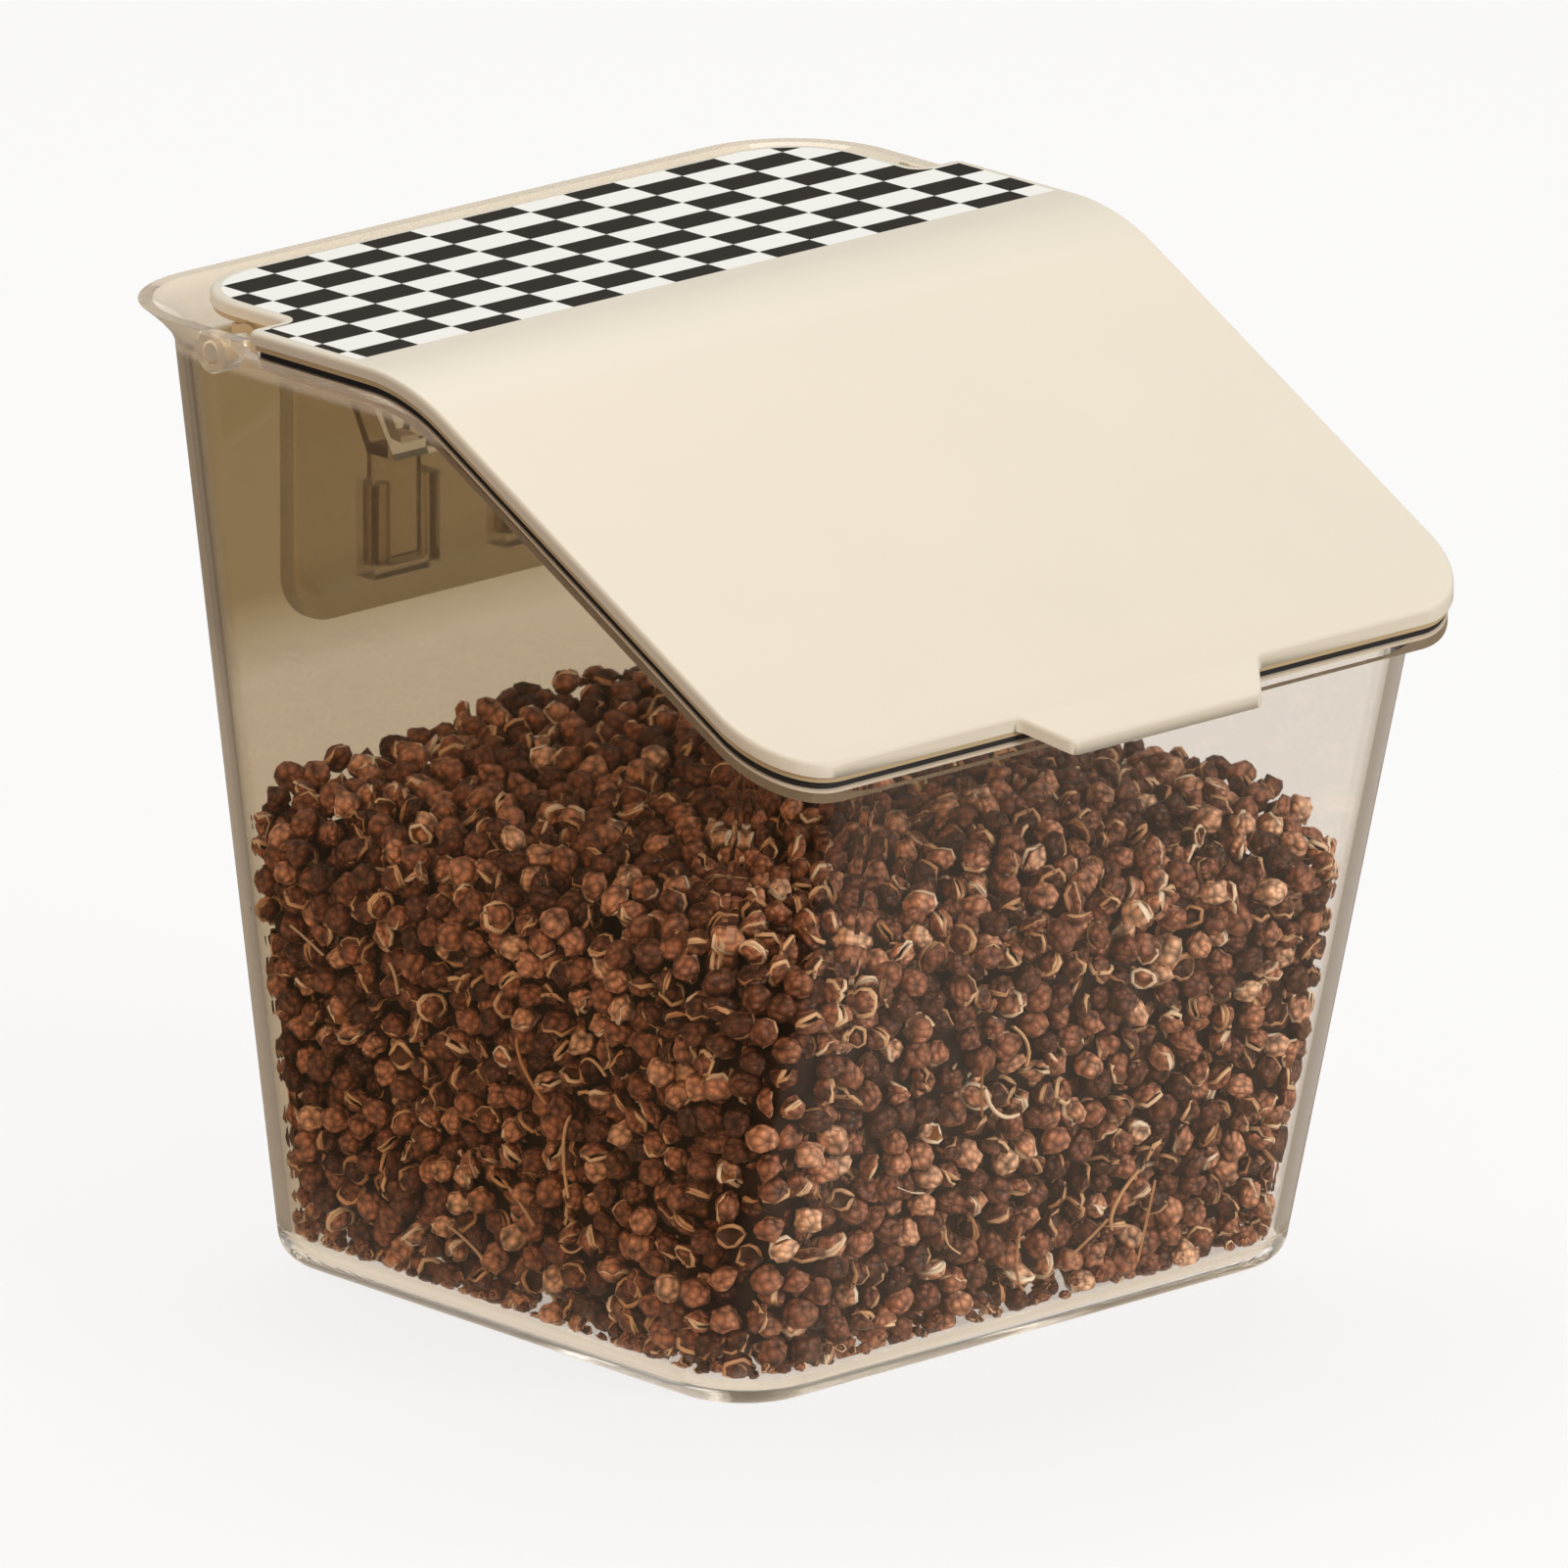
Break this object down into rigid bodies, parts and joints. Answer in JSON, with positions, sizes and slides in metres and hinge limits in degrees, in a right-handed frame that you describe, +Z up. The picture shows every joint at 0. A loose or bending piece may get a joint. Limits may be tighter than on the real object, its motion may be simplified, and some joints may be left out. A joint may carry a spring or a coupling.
{
  "type": "spice box",
  "caption": "Clear tapered tub with a cranked flip lid and finger tab, a flared collar with hinge lugs, and a lift-off wall plate at the back.",
  "frame": {"origin": "centre of the tub's flat underside", "axes": "+X across the width, the front with the finger tab faces -Y, +Z up"},
  "size_m": [0.1208, 0.134, 0.125],
  "materials": {
    "clear_plastic": "clear moulded plastic with a faint warm tint; its back wall is smoke brown, darker towards the top",
    "cream_plastic": "cream moulded plastic, satin, with a printed checker band",
    "liner_plastic": "tan moulded plastic",
    "seal_rubber": "matt black seal",
    "pin_plastic": "cream moulded plastic",
    "plate_plastic": "translucent frosted plastic with a light smoke tint",
    "pad_foam": "soft clear double-sided tape"
  },
  "bodies": {
    "tub": {"tub": "clear_plastic"},
    "lid": {"lid_cover": "cream_plastic", "lid_liner": "liner_plastic", "lid_seal": "seal_rubber", "hinge_pin_left": "pin_plastic", "hinge_pin_right": "pin_plastic"},
    "plate": {"wall_plate": "plate_plastic", "adhesive_pad": "pad_foam"}
  },
  "joints": [
    {"name": "lid_hinge", "type": "hinge", "parent": "tub", "child": "lid", "pos_m": [0, 0.04039, 0.1204], "axis": [-1, 0, 0], "range_deg": [0, 110]},
    {"name": "plate_lift", "type": "slide", "parent": "tub", "child": "plate", "axis": [0, 0, -1], "range_m": [0, 0.014]}
  ]
}
